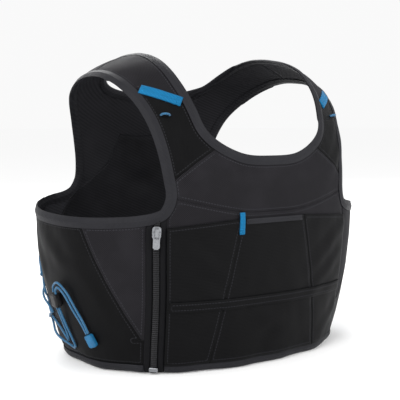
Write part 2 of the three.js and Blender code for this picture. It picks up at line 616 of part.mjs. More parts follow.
// Zip, on lines between its two seams.
const zipTop = arm(AT.zip, AT.gusset);
function zipLine(share) {
  const top = share < 0.5 ? mix(zipTop[0], zipTop[1], share * 2) : mix(zipTop[1], zipTop[2], share * 2 - 1);
  const line = zipFront.map((p, i) => snap(i === 0 ? top : mix(p, zipSide[i], share)));
  const [before, last] = line.slice(-2);
  return [...line, snap(mix(before, last, before.z / (before.z - last.z)))];
}
function zipStrip(from, to, low, high) {
  const [left, right] = [zipLine(from), zipLine(to)];
  return panel([[left[0], right[0]], [left.at(-1), right.at(-1)], left, right], low, high);
}
add('zip_tape_front', zipStrip(0, ZIP_TAPE_SHARE, 0, CLOTH), ZIP_TAPE);
add('zip_tape_side', zipStrip(1 - ZIP_TAPE_SHARE, 1, 0, CLOTH), ZIP_TAPE);
add('zip_chain', zipStrip(ZIP_TAPE_SHARE, 1 - ZIP_TAPE_SHARE, -CHAIN_SUNK, CLOTH + CHAIN_PROUD), ZIP_CHAIN);

// Slider: a plate over the chain with an arch that holds the pull's bar.
const solids = await Module();
solids.setup();
function toSolid(geometry) {
  const bare = geometry.clone();
  bare.deleteAttribute('normal');
  bare.deleteAttribute('uv');
  const welded = mergeVertices(bare);
  const vertProperties = Float32Array.from(welded.attributes.position.array);
  const triVerts = Uint32Array.from(welded.index.array);
  return new solids.Manifold(new solids.Mesh({ numProp: 3, vertProperties, triVerts }));
}
const polygon = (points) => new THREE.Shape(points.map(([x, y]) => new THREE.Vector2(x, y)));
const archEnd = ARCH_LENGTH / 2;
const windowEnd = archEnd - ARCH_WALL;
const archShoulder = ARCH_HEIGHT - ARCH_WALL;
const windowTop = archShoulder - 0.1;
const windowFloor = 0.05;
const bothEnds = (points) => [...points, ...reversed(points).map(([x, y]) => [-x, y])];
const archHalf = [[archEnd, -ARCH_FOOT], [archEnd, archShoulder], [windowEnd, ARCH_HEIGHT]];
const archShape = polygon(bothEnds(archHalf));
archShape.holes.push(polygon(bothEnds([[windowEnd, windowFloor], [windowEnd, windowTop]])));
// The arch's outline is drawn along the slider and upwards, and its width runs across.
const archTurn = new THREE.Matrix4().makeBasis(vector(0, 1, 0), vector(0, 0, 1), vector(1, 0, 0));
const arch = new THREE.ExtrudeGeometry(archShape, { depth: ARCH_WIDTH, bevelEnabled: false })
  .translate(0, 0, -ARCH_WIDTH / 2).applyMatrix4(archTurn).translate(0, 0, SLIDER_PLATE);
const plate = pebble(SLIDER_LENGTH, SLIDER_WIDTH, SLIDER_PLATE, 2.6, 0.3);
const sliderSolid = toSolid(plate).add(toSolid(arch)).getMesh();
const slider = facingOut([...sliderSolid.vertProperties], [...sliderSolid.triVerts]);
const chainTop = CLOTH + CHAIN_PROUD + GAP;
const zipMiddle = zipLine(0.5);
const sliderSpot = atLevel(zipMiddle, zipMiddle[0].z - SLIDER_DROP);
const zipUp = zipMiddle[0].clone().sub(zipMiddle[2]).normalize();
add('zip_slider', seat(slider, sliderSpot, zipUp, chainTop), SILVER);

// Pull: its bar lies across the slider, in the arch's window.
const pullBottom = PULL_RAIL / 2 - PULL_LENGTH;
const pullSide = PULL_WIDTH / 2;
const eyeSide = pullSide - PULL_RAIL;
const eyeBottom = -PULL_RAIL / 2 - PULL_EYE_LENGTH;
const waist = pullSide - PULL_WAIST;
const pullShape = polygon(bothEnds([[waist - PULL_CORNER, pullBottom], [waist, pullBottom + PULL_CORNER],
  [waist, eyeBottom - PULL_RAIL], [pullSide, PULL_RAIL / 2]]));
pullShape.holes.push(polygon(bothEnds([[eyeSide, eyeBottom], [eyeSide, -PULL_RAIL / 2]])));
const pull = new THREE.ExtrudeGeometry(pullShape, { depth: PULL_THICKNESS, bevelEnabled: false })
  .translate(0, 0, -PULL_THICKNESS / 2);
add('zip_pull', seat(pull, sliderSpot, zipUp, chainTop + SLIDER_PLATE + PULL_AXIS), SILVER);
const stopSpot = atLevel(zipMiddle, STOP_LENGTH);
const stop = pebble(STOP_LENGTH, SLIDER_WIDTH, SLIDER_PLATE, 0.9, 0.3);
add('zip_stop', seat(stop, stopSpot, zipUp, chainTop), SILVER);

// Tabs and loops.
const tabEnds = [snap(mix(tabSeam[0], tabSeam[1], 0.5)), snap(mix(tabSeam[3], tabSeam[4], 0.75))];
const tabLine = [tabEnds[0], ...tabSeam.slice(1, -1), tabEnds[1]];
const trim = (points, width, low) => ribbon(points, width, low, low + TAB_THICKNESS);
addBoth('strap_tab', (side) => trim(side(tabLine), STRAP_TAB_WIDTH, onBase), BLUE);
const pocketTabX = POCKET_SEAM_TOP + 1;
const pocketTabLevels = [YOKE_SEAM_LEVEL, YOKE_SEAM_LEVEL - POCKET_TAB_LENGTH];
const pocketTabEnds = pocketTabLevels.map((z) => onFront(pocketTabX, z));
add('pocket_tab', trim(seam(pocketTabEnds, 4), POCKET_TAB_WIDTH, onPocket), BLUE);
const napeTabEnds = [NAPE_TAB_TOP, NAPE_TAB_TOP - NAPE_TAB_LENGTH].map((z) => onBack(0, z));
add('nape_tab', trim(seam(napeTabEnds, 4), NAPE_TAB_WIDTH, onBase), BLUE);
addBoth('strap_loop', (side) => {
  const [middle] = side([onFront(LOOP_ACROSS, LOOP_LEVEL)]);
  const turns = [0, 0.25, 0.5, 0.75, 1].map((share) => share * Math.PI);
  const points = turns.map((turn) => vector(Math.cos(turn) * LOOP_RADIUS, 0, Math.sin(turn) * LOOP_RADIUS));
  return seat(cordAlong(points, LOOP_CORD, LACE_SIDES, 8), middle, vector(0, 0, 1), onBase);
}, BLUE);

// Lacing: one cord lies on the strip and the other passes over it at each crossing. Both end in the lock.
const along = (points, share) => {
  const place = share * (points.length - 1);
  const i = Math.min(Math.floor(place), points.length - 2);
  return mix(points[i], points[i + 1], place - i);
};
const underHeight = MESH_CLOTH + GAP + LACE_DIAMETER / 2;
const overHeight = underHeight + LACE_DIAMETER + LACE_PASS_GAP;
const besideStrip = CLOTH + GAP + LACE_DIAMETER / 2 + 0.2;
function laceSpot(row, across) {
  const share = LACE_TOP_SHARE + (LACE_BOTTOM_SHARE - LACE_TOP_SHARE) * (row / LACE_ROWS);
  return snap(mix(along(laceFrontSeam, share), along(laceBackSeam, share), across));
}
function lacePoints(startsBehind, lastRow, crossing, feeder) {
  const edges = [LACE_EDGE, 1 - LACE_EDGE];
  const points = [];
  for (let row = 0; row <= lastRow; row += 1) {
    const behind = (row + startsBehind) % 2;
    const turn = laceSpot(row, edges[behind]);
    const aside = laceSpot(row + 0.5, edges[behind]).sub(turn).normalize().multiplyScalar(LACE_TURN);
    if (row > 0) points.push(lift(snap(turn.clone().sub(aside)), underHeight));
    points.push(lift(snap(turn.clone().add(aside)), underHeight));
    if (row === lastRow) break;
    const next = laceSpot(row + 1, edges[1 - behind]);
    const climb = (underHeight + crossing) / 2;
    for (const [share, height] of [[0.3, climb], [0.5, crossing], [0.7, climb]]) {
      points.push(lift(snap(mix(turn, next, share)), height));
    }
  }
  points.splice(-1, 1, ...feeder.map(([ahead, up, height]) => lift(onSide(ahead, up), height)));
  return points;
}
// The cords' last stretch to the lock: ahead of the middle, above the hem and over the form.
const lockBottom = LOCK_LEVEL - LOCK_LENGTH / 2 - GAP;
const lockMiddle = onBase + LOCK_DEPTH / 2;
const underFeed = [[-2, 20, besideStrip], [-1.5, 34, besideStrip], [-0.8, lockBottom, lockMiddle]];
const overFeed = [[-11, 14, besideStrip], [-8, 30, besideStrip], [-5.2, lockBottom, lockMiddle]];
const underPoints = lacePoints(0, LACE_ROWS - 1, underHeight, underFeed);
const overPoints = lacePoints(1, LACE_ROWS, overHeight, overFeed);
addBoth('lace_under', (side) => cordAlong(side(underPoints), LACE_DIAMETER, LACE_SIDES, 38), BLUE);
addBoth('lace_over', (side) => cordAlong(side(overPoints), LACE_DIAMETER, LACE_SIDES, 44), BLUE);
const lockUp = vector(0, 0, 1);
addBoth('cord_lock', (side) => seat(pebble(LOCK_LENGTH, LOCK_WIDTH, LOCK_DEPTH, 3, 1),
  side([onSide(LOCK_AHEAD, LOCK_LEVEL)])[0], lockUp, onBase), BLACK);

// Free tails, one beside the other, and the tab that joins their ends.
function tailPoints(place) {
  const middle = TAIL_ROUTE.map((row) => lift(onSide(row.ahead, LOCK_LEVEL + row.up), row.height));
  return middle.map((p, i) => {
    const [before, after] = [middle[Math.max(i - 1, 0)], middle[Math.min(i + 1, middle.length - 1)]];
    const beside = after.clone().sub(before).cross(outward(p)).normalize();
    return p.clone().addScaledVector(beside, place * TAIL_ROUTE[i].apart);
  });
}
const tail = (side, place) => cordAlong(side(tailPoints(place)), TAIL_DIAMETER, TAIL_SIDES, 12);
addBoth('tail_front', (side) => tail(side, -1), BLUE);
addBoth('tail_back', (side) => tail(side, 1), BLUE);
const tailEnd = TAIL_ROUTE.at(-1);
const endTabPlaces = [onSide(END_TAB_AHEAD, LOCK_LEVEL - END_TAB_DROP),
  onSide(tailEnd.ahead, LOCK_LEVEL + tailEnd.up)];
addBoth('end_tab', (side) => {
  const [tab, cordEnd] = side(endTabPlaces);
  const block = pebble(END_TAB_LENGTH, END_TAB_WIDTH, END_TAB_DEPTH, 2.5, 0.8);
  return seat(block, tab, cordEnd.sub(tab), onBase);
}, BLUE);

export default vest;
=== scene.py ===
import math

import bmesh
import bpy
import numpy as np
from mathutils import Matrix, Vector, kdtree, noise


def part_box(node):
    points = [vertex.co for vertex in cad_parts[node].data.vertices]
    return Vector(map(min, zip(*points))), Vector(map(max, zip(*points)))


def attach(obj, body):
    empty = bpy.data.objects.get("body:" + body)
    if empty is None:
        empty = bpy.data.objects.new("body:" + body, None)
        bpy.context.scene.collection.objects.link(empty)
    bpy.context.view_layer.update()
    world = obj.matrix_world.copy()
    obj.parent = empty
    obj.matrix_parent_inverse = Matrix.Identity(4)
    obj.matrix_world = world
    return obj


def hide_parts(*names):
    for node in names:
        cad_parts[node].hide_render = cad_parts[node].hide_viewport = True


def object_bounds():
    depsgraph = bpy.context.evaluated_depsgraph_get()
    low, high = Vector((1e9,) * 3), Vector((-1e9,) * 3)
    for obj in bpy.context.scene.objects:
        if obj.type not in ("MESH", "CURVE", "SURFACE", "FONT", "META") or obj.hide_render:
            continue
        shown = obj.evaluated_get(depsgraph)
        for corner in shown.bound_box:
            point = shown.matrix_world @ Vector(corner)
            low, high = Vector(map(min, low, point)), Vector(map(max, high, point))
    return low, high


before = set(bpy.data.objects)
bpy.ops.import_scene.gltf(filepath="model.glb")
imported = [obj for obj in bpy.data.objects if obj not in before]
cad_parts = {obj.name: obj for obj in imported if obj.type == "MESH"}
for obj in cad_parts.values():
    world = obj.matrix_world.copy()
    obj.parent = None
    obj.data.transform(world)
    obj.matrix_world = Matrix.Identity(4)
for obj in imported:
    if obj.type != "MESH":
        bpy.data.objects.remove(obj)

cad_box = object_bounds()
collection = bpy.context.scene.collection

# The body form of part.mjs, in millimetres above the hem.
CHEST_HALF_WIDTH, CHEST_FRONT_DEPTH, CHEST_BACK_DEPTH = 170, 118, 120
HEM_HALF_WIDTH, HEM_FRONT_DEPTH, HEM_BACK_DEPTH = 142, 106, 96
CROWN_HEIGHT, TAPER_SWELL, PLAN_ROUNDNESS, SHOULDER_ROUNDNESS = 298, 1.8, 2.3, 2.8
CHEST_LEVEL, SHOULDER_SEAT = 0.44 * CROWN_HEIGHT, CROWN_HEIGHT - 11
# Radius that turns an angle round the body into millimetres of cloth.
CLOTH_RADIUS = 145

# Which edges of a solid stay sharp when it is subdivided: turns in radians, lengths in metres.
WELD, SHARP_TURN, CORNER_TURN, CORNER_LENGTH = 3e-6, 1.3, 0.44, 0.002
# The turn from which a fine piece's edge counts as its outline, and the one that is shaded as an edge.
OUTLINE_TURN, SHADED_TURN = 1.0, 0.9
# A seam draws the cloth in beside the edge, with small puckers, and closes up to its neighbour.
SEAM_SINK, SEAM_REACH, CLOSING_REACH = 0.4, 1.5, 2.5
PUCKER_HEIGHT, PUCKER_TURNS, PUCKER_PLACE, PUCKER_REACH = 0.06, 0.7, 4, 3.5


def tapered(chest, hem, z):
    below = np.maximum(0, 1 - z / CHEST_LEVEL)
    return chest - (chest - hem) * below ** TAPER_SWELL


def fullness(p):
    z = p[:, 2]
    front = tapered(CHEST_FRONT_DEPTH, HEM_FRONT_DEPTH, z)
    back = tapered(CHEST_BACK_DEPTH, HEM_BACK_DEPTH, z)
    depth = np.where(p[:, 1] < 0, front, back)
    wide = tapered(CHEST_HALF_WIDTH, HEM_HALF_WIDTH, z)
    plan = np.abs(p[:, 0] / wide) ** PLAN_ROUNDNESS + np.abs(p[:, 1] / depth) ** PLAN_ROUNDNESS
    climb = np.maximum(0, (z - CHEST_LEVEL) / (CROWN_HEIGHT - CHEST_LEVEL))
    power = SHOULDER_ROUNDNESS
    return (plan ** (power / PLAN_ROUNDNESS) + climb ** power) ** (1 / power)


def snap(p):
    full = fullness(p)
    high = CHEST_LEVEL + (p[:, 2] - CHEST_LEVEL) / full
    z = np.where(p[:, 2] > CHEST_LEVEL, high, p[:, 2])
    return np.stack([p[:, 0] / full, p[:, 1] / full, z], axis=1)


def outward(p):
    steps = np.eye(3) * 0.05
    slope = np.stack([fullness(p + d) - fullness(p - d) for d in steps], axis=1)
    return slope / np.linalg.norm(slope, axis=1, keepdims=True)


def footing(q):
    """The form's point under q, the normal there and q's height."""
    p = snap(q)
    for _ in range(3):
        normal = outward(p)
        height = ((q - p) * normal).sum(1)
        p = snap(q - normal * height[:, None])
    return p, outward(p), height


def smoothstep(x, low, high):
    t = np.clip((x - low) / (high - low), 0, 1)
    return t * t * (3 - 2 * t)


def read_points(mesh):
    co = np.zeros(len(mesh.vertices) * 3)
    mesh.vertices.foreach_get("co", co)
    return co.reshape(-1, 3) * 1000 + (0, 0, SHOULDER_SEAT)


def write_points(mesh, points):
    co = (points - (0, 0, SHOULDER_SEAT)) / 1000
    mesh.vertices.foreach_set("co", co.ravel())
    mesh.update()


# Soft folds of the cloth, on the wearer's right and mirrored on the left: a line from one point to another,
# with Z above the hem, the fold's half width and its height.
FOLDS = [
    {"from": (-97, -84, 132), "to": (-48, -110, 84), "width": 7, "height": 1.1},
    {"from": (-92, -86, 105), "to": (-40, -110, 55), "width": 6, "height": 0.8},
    {"from": (-58, -104, 148), "to": (-14, -117, 128), "width": 6, "height": 0.6},
    {"from": (-98, -74, 52), "to": (-70, -90, 21), "width": 6, "height": 0.9},
    {"from": (-20, -110, 50), "to": (24, -109, 34), "width": 7, "height": 0.7},
    {"from": (-100, -84, 201), "to": (-76, -104, 173), "width": 5, "height": 0.8},
    {"from": (-106, -64, 233), "to": (-86, -92, 210), "width": 5, "height": 0.6},
    {"from": (-166, 14, 125), "to": (-148, -46, 71), "width": 8, "height": 1.3},
    {"from": (-164, 40, 119), "to": (-150, 6, 50), "width": 7, "height": 1.1},
    {"from": (-156, -30, 109), "to": (-136, -56, 46), "width": 7, "height": 1.0},
    {"from": (-104, 92, 141), "to": (-40, 114, 98), "width": 8, "height": 1.1},
    {"from": (-112, 80, 93), "to": (-52, 100, 46), "width": 8, "height": 1.0},
    {"from": (-90, 84, 46), "to": (-30, 98, 18), "width": 7, "height": 0.8},
    {"from": (-30, 118, 171), "to": (30, 118, 146), "width": 8, "height": 0.8},
    {"from": (-72, 98, 217), "to": (-46, 112, 171), "width": 6, "height": 0.8},
    {"from": (-36, 112, 68), "to": (10, 104, 25), "width": 8, "height": 0.7},
]
# Uneven cloth: how high it stands, and how long its waves are round the body and up it.
UNEVEN = [
    {"height": 1.1, "around": 44, "up": 62, "shift": 0},
    {"height": 0.4, "around": 15, "up": 21, "shift": 7},
]
# The hem's waves: height, number round the body, where they start, and how far up they reach.
HEM_WAVE = {"height": 0.9, "count": 13, "start": 1.2, "reach": 55}
# Places that stay as they are, because hard pieces sit there: a node and how far its calm reaches.
CALM = [("zip_slider", 24), ("zip_stop", 16), ("cord_lock_right", 24), ("cord_lock_left", 24),
        ("end_tab_right", 20), ("end_tab_left", 20), ("tail_front_right", 34), ("tail_front_left", 34)]


def fold_height(foot):
    """How far the cloth stands off its smooth form, in millimetres."""
    height = np.zeros(len(foot))
    for fold in FOLDS:
        for side in (1, -1):
            a = np.array(fold["from"], float) * (side, 1, 1)
            b = np.array(fold["to"], float) * (side, 1, 1)
            a, b = snap(np.array([a, b]))
            along = np.clip((foot - a) @ (b - a) / ((b - a) @ (b - a)), 0, 1)
            away = np.linalg.norm(foot - (a + along[:, None] * (b - a)), axis=1) / fold["width"]
            ridge = np.exp(-away ** 2) - 0.45 * np.exp(-((away - 1.9) / 0.9) ** 2)
            height += fold["height"] * ridge * np.sin(np.pi * np.clip(along, 0.06, 0.94)) ** 0.7
    for i, (x, y, z) in enumerate(foot):
        for row in UNEVEN:
            spot = (x / row["around"] + row["shift"], y / row["around"], z / row["up"])
            height[i] += row["height"] * noise.noise(Vector(spot))
    near_hem = np.clip(1 - foot[:, 2] / HEM_WAVE["reach"], 0, 1)
    turn = np.arctan2(foot[:, 1], foot[:, 0])
    height += HEM_WAVE["height"] * near_hem * np.sin(turn * HEM_WAVE["count"] + HEM_WAVE["start"])
    for node, reach in CALM:
        low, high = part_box(node)
        centre = np.array((low + high) / 2) * 1000 + (0, 0, SHOULDER_SEAT)
        height *= smoothstep(np.linalg.norm(foot - centre, axis=1), reach * 0.7, reach * 1.6)
    return height


def outline(bm):
    """Sharp edges of a fine mesh: their vertices, each one's neighbours and the way along them."""
    near, length = {}, {}
    for edge in bm.edges:
        if edge.calc_face_angle(0.0) > OUTLINE_TURN:
            a, b = edge.verts[0].index, edge.verts[1].index
            near.setdefault(a, []).append(b)
            near.setdefault(b, []).append(a)
            length[(a, b)] = length[(b, a)] = edge.calc_length() * 1000
    run = {}
    for start in near:
        if start in run:
            continue
        run[start] = 0.0
        waiting = [start]
        while waiting:
            v = waiting.pop()
            for other in near[v]:
                if other not in run:
                    run[other] = run[v] + length[(v, other)]
                    waiting.append(other)
    return near, run


def edge_facts(bm, points):
    """For each vertex: the distance to the piece's sharp edge, the way along it and the edge's own vertex."""
    near, run = outline(bm)
    if not near:
        return np.full(len(points), 1e3), np.zeros(len(points)), np.zeros(len(points), int)
    ids = sorted(near)
    tree = kdtree.KDTree(len(ids))
    for i in ids:
        tree.insert(points[i], i)
    tree.balance()
    nearest = np.array([tree.find(p)[1] for p in points])
    away = np.full(len(points), 1e9)
    way = np.zeros(len(points))
    for k in range(3):
        other = np.array([near[i][k] if k < len(near[i]) else near[i][0] for i in nearest])
        a, b = points[nearest], points[other]
        size = np.maximum(((b - a) ** 2).sum(1), 1e-9)
        t = np.clip(((points - a) * (b - a)).sum(1) / size, 0, 1)
        distance = np.linalg.norm(points - a - t[:, None] * (b - a), axis=1)
        better = distance < away
        away = np.where(better, distance, away)
        start = np.array([run[i] for i in nearest])
        end = np.array([run[i] for i in other])
        way = np.where(better, start + t * (end - start), way)
    return away, way, nearest


def coarse_copy(node):
    """The CAD node's faces, welded into quads, with its real edges creased."""
    bm = bmesh.new()
    bm.from_mesh(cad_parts[node].data)
    bmesh.ops.remove_doubles(bm, verts=bm.verts[:], dist=WELD)
    bmesh.ops.join_triangles(bm, faces=bm.faces[:], angle_face_threshold=0.7, angle_shape_threshold=0.9)
    bm.normal_update()
    crease = bm.edges.layers.float.get("crease_edge") or bm.edges.layers.float.new("crease_edge")
    for edge in bm.edges:
        turn = edge.calc_face_angle(0.0)
        corner = edge.calc_length() < CORNER_LENGTH and turn > CORNER_TURN
        edge[crease] = 1.0 if turn > SHARP_TURN or corner else 0.0
    mesh = bpy.data.meshes.new(node + "_form")
    bm.to_mesh(mesh)
    bm.free()
    return mesh


def subdivided(node, levels):
    """A piece with the CAD node's form in more faces, and each point's own height over the body form."""
    mesh = coarse_copy(node)
    lift = mesh.attributes.new("lift", "FLOAT", "POINT")
    lift.data.foreach_set("value", footing(read_points(mesh))[2])
    piece = bpy.data.objects.new(node + "_soft", mesh)
    collection.objects.link(piece)
    subdivision = piece.modifiers.new("Fine", "SUBSURF")
    subdivision.levels = subdivision.render_levels = levels
    graph = bpy.context.evaluated_depsgraph_get()
    fine = piece.evaluated_get(graph)
    made = bpy.data.meshes.new_from_object(fine, preserve_all_data_layers=True, depsgraph=graph)
    piece.modifiers.clear()
    piece.data = made
    made.name = node + "_soft"
    return piece


def measured_edges(mesh, points):
    """The facts of edge_facts, and each vertex's own normal."""
    bm = bmesh.new()
    bm.from_mesh(mesh)
    bm.normal_update()
    bm.verts.ensure_lookup_table()
    away, way, nearest = edge_facts(bm, points)
    facing = np.array([v.normal[:] for v in bm.verts])
    bm.free()
    return away, way, nearest, facing


def seated(foot, normal, height, edges, grow):
    """Cloth on the body form: folds, drawn-in seams, small puckers, and edges grown outwards."""
    away, way, nearest, facing = edges
    aside = facing[nearest] - (facing[nearest] * normal).sum(1)[:, None] * normal
    aside /= np.maximum(np.linalg.norm(aside, axis=1, keepdims=True), 1e-6)
    outer = smoothstep(height, 0.3, 1.2)
    stand = fold_height(foot) - SEAM_SINK * outer * np.exp(-(away / SEAM_REACH) ** 2)
    beside_seam = np.exp(-((away - PUCKER_PLACE) / PUCKER_REACH) ** 2)
    stand += PUCKER_HEIGHT * outer * np.sin(way * PUCKER_TURNS) * beside_seam
    spread = grow * np.clip(1 - away / CLOSING_REACH, 0, 1)
    return foot + normal * (height + stand)[:, None] + aside * spread[:, None]


def fine_piece(node, levels, material, reseat=True, grow=0.0, fold=True, swell=0.0):
    """A finer piece in the place of a CAD node: cloth is seated again, cords and plastic keep their form."""
    piece = subdivided(node, levels)
    mesh = piece.data
    points = read_points(mesh)
    foot, normal, height = footing(points)
    if reseat:
        mesh.attributes["lift"].data.foreach_get("value", height)
    edges = measured_edges(mesh, points)
    if reseat:
        write_points(mesh, seated(foot, normal, height, edges, grow))
    else:
        stand = fold_height(foot) if fold else np.zeros(len(foot))
        write_points(mesh, points + normal * stand[:, None] + edges[3] * swell)
    front_or_back = 1 if foot[:, 1].mean() > 0 else -1
    across = np.arctan2(foot[:, 0], foot[:, 1] * front_or_back) * CLOTH_RADIUS
    facts = {"lift": height, "edge": edges[0], "run": edges[1], "across": across, "up": foot[:, 2]}
    for name, values in facts.items():
        layer = mesh.attributes.get(name) or mesh.attributes.new(name, "FLOAT", "POINT")
        layer.data.foreach_set("value", values.astype(np.float32))
    mesh.polygons.foreach_set("use_smooth", [True] * len(mesh.polygons))
    mesh.set_sharp_from_angle(angle=SHADED_TURN)
    mesh.materials.clear()
    mesh.materials.append(material)
    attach(piece, "vest")
    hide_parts(node)
    return piece


def linear(code):
    channels = [(code >> shift & 255) / 255 for shift in (16, 8, 0)]
    return [c / 12.92 if c <= 0.04045 else ((c + 0.055) / 1.055) ** 2.4 for c in channels] + [1.0]


def shaded(code, share, lift=0.0):
    """The colour, darker or paler by a share."""
    return [min(1, c * share + lift) for c in linear(code)[:3]] + [1.0]


class Shader:
    """A material's nodes, added one by one."""

    def __init__(self, name):
        self.material = bpy.data.materials.new(name)
        self.material.use_nodes = True
        self.tree = self.material.node_tree
        self.surface = self.tree.nodes["Principled BSDF"]

    def put(self, socket, value):
        if isinstance(value, bpy.types.NodeSocket):
            self.tree.links.new(value, socket)
        elif value is not None:
            socket.default_value = value

    def calc(self, operation, *values):
        node = self.tree.nodes.new("ShaderNodeMath")
        node.operation = operation
        for socket, value in zip(node.inputs, values):
            self.put(socket, value)
        return node.outputs[0]

    def fact(self, name):
        node = self.tree.nodes.new("ShaderNodeAttribute")
        node.attribute_name = name
        return node.outputs["Fac"]

    def place(self):
        node = self.tree.nodes.new("ShaderNodeTexCoord")
        split = self.tree.nodes.new("ShaderNodeSeparateXYZ")
        self.put(split.inputs[0], node.outputs["Object"])
        return node.outputs["Object"], split.outputs

    def cloud(self, size, detail=3.0):
        """Soft random patches of about that size in millimetres."""
        node = self.tree.nodes.new("ShaderNodeTexNoise")
        self.put(node.inputs["Vector"], self.place()[0])
        node.inputs["Scale"].default_value = 1000 / size
        node.inputs["Detail"].default_value = detail
        return node.outputs["Fac"]

    def between(self, value, low, high):
        node = self.tree.nodes.new("ShaderNodeMapRange")
        node.interpolation_type = "SMOOTHSTEP"
        for socket, item in zip(node.inputs, (value, low, high, 0.0, 1.0)):
            self.put(socket, item)
        return node.outputs[0]

    def mix(self, share, a, b):
        node = self.tree.nodes.new("ShaderNodeMix")
        node.data_type = "RGBA"
        self.put(node.inputs[0], share)
        self.put(node.inputs[6], a)
        self.put(node.inputs[7], b)
        return node.outputs[2]

    def wave(self, value, pitch):
        """0 to 1 and back over each pitch."""
        turned = self.calc("SINE", self.calc("MULTIPLY", value, 2 * math.pi / pitch))
        return self.calc("MULTIPLY_ADD", turned, 0.5, 0.5)

    def relief(self, height, depth_mm, strength=1.0):
        node = self.tree.nodes.new("ShaderNodeBump")
        node.inputs["Strength"].default_value = strength
        node.inputs["Distance"].default_value = depth_mm / 1000
        self.put(node.inputs["Height"], height)
        self.put(self.surface.inputs["Normal"], node.outputs[0])

    def finish(self, colour, rough, metallic=0.0, sheen=0.0, sheen_colour=None, gloss=0.5):
        self.put(self.surface.inputs["Base Color"], colour)
        self.put(self.surface.inputs["Roughness"], rough)
        self.surface.inputs["Metallic"].default_value = metallic
        self.surface.inputs["Specular IOR Level"].default_value = gloss
        self.surface.inputs["Sheen Weight"].default_value = sheen
        self.surface.inputs["Sheen Roughness"].default_value = 0.45
        if sheen_colour:
            self.surface.inputs["Sheen Tint"].default_value = sheen_colour
        return self.material


def knit(name, colour, inner, pitch, contrast, pattern, rough, sheen, stitch=True, stitch_colour=0x4a4a4e):
    """Stretch cloth: a small regular weave, a stitched line beside each edge and a paler inner face."""
    s = Shader(name)
    across, up = s.fact("across"), s.fact("up")
    if pattern == "holes":
        weave = s.calc("MULTIPLY", s.wave(s.calc("ADD", across, up), pitch),
                       s.wave(s.calc("SUBTRACT", across, up), pitch))
    elif pattern == "ribs":
        weave = s.wave(up, pitch)
    elif pattern == "cross_ribs":
        weave = s.wave(s.fact("run"), pitch)
    else:
        weave = s.calc("MULTIPLY", s.wave(across, pitch), s.wave(up, pitch * 0.7))
    patch = s.cloud(26)
    outer = s.between(s.fact("lift"), 0.2, 0.7)
    dark = shaded(colour, 1 - contrast)
    pale = shaded(colour, 1 + contrast)
    face = s.mix(weave, dark, pale)
    rib = s.wave(s.calc("MULTIPLY_ADD", across, 0.35, up), 3.2)
    inside = s.mix(rib, shaded(inner, 0.55), linear(inner))
    body = s.mix(outer, inside, face)
    rubbed = s.calc("MULTIPLY", s.between(patch, 0.35, 0.75), 0.35)
    worn = s.mix(rubbed, body, shaded(colour, 1.5))
    height = s.calc("MULTIPLY", weave, 0.25)
    if stitch:
        line = s.calc("ABSOLUTE", s.calc("SUBTRACT", s.fact("edge"), 2.6))
        on_line = s.calc("SUBTRACT", 1.0, s.between(line, 0.25, 0.5))
        dash = s.between(s.wave(s.fact("run"), 2.8), 0.25, 0.45)
        thread = s.calc("MULTIPLY", s.calc("MULTIPLY", on_line, dash), outer)
        worn = s.mix(thread, worn, linear(stitch_colour))
        groove = s.calc("MULTIPLY", on_line, s.calc("SUBTRACT", dash, 0.6))
        height = s.calc("ADD", height, groove)
    s.relief(height, 0.35, 0.8)
    roughness = s.calc("MULTIPLY_ADD", patch, 0.16, rough - 0.08)
    return s.finish(worn, roughness, sheen=sheen, sheen_colour=[0.8, 0.85, 1.0, 1.0], gloss=0.06)


def cord_cover(name, colour):
    """Round braided cord: two crossing diagonals."""
    s = Shader(name)
    _, (x, y, z) = s.place()
    way = s.calc("ADD", s.calc("MULTIPLY", x, 1000.0), s.calc("MULTIPLY", y, 1000.0))
    rise = s.calc("MULTIPLY", z, 1000.0)
    strands = [s.wave(s.calc(turn, way, rise), 1.1) for turn in ("ADD", "SUBTRACT")]
    braid = s.calc("MULTIPLY", *strands)
    body = s.mix(braid, shaded(colour, 0.6), shaded(colour, 1.25))
    s.relief(braid, 0.25, 0.8)
    return s.finish(body, s.calc("MULTIPLY_ADD", s.cloud(9), 0.2, 0.42), sheen=0.15)


def plastic(name, colour):
    s = Shader(name)
    grain = s.cloud(0.7, 2.0)
    body = s.mix(s.between(s.cloud(6), 0.3, 0.7), linear(colour), shaded(colour, 1.35, 0.004))
    s.relief(grain, 0.04, 0.6)
    return s.finish(body, s.calc("MULTIPLY_ADD", s.cloud(5), 0.2, 0.32), gloss=0.3)


def metal(name, colour):
    s = Shader(name)
    scratch = s.cloud(1.6, 6.0)
    body = s.mix(s.between(scratch, 0.3, 0.8), shaded(colour, 0.72), linear(colour))
    s.relief(s.cloud(0.6, 4.0), 0.03, 0.5)
    return s.finish(body, s.calc("MULTIPLY_ADD", scratch, 0.3, 0.18), metallic=1.0)


def coil(name, colour):
    """Closed teeth of the zip, side by side along it."""
    s = Shader(name)
    teeth = s.wave(s.fact("up"), 1.9)
    body = s.mix(teeth, shaded(colour, 0.35), shaded(colour, 1.7))
    s.relief(teeth, 0.7, 1.0)
    return s.finish(body, s.calc("MULTIPLY_ADD", s.cloud(4), 0.15, 0.4), gloss=0.15)


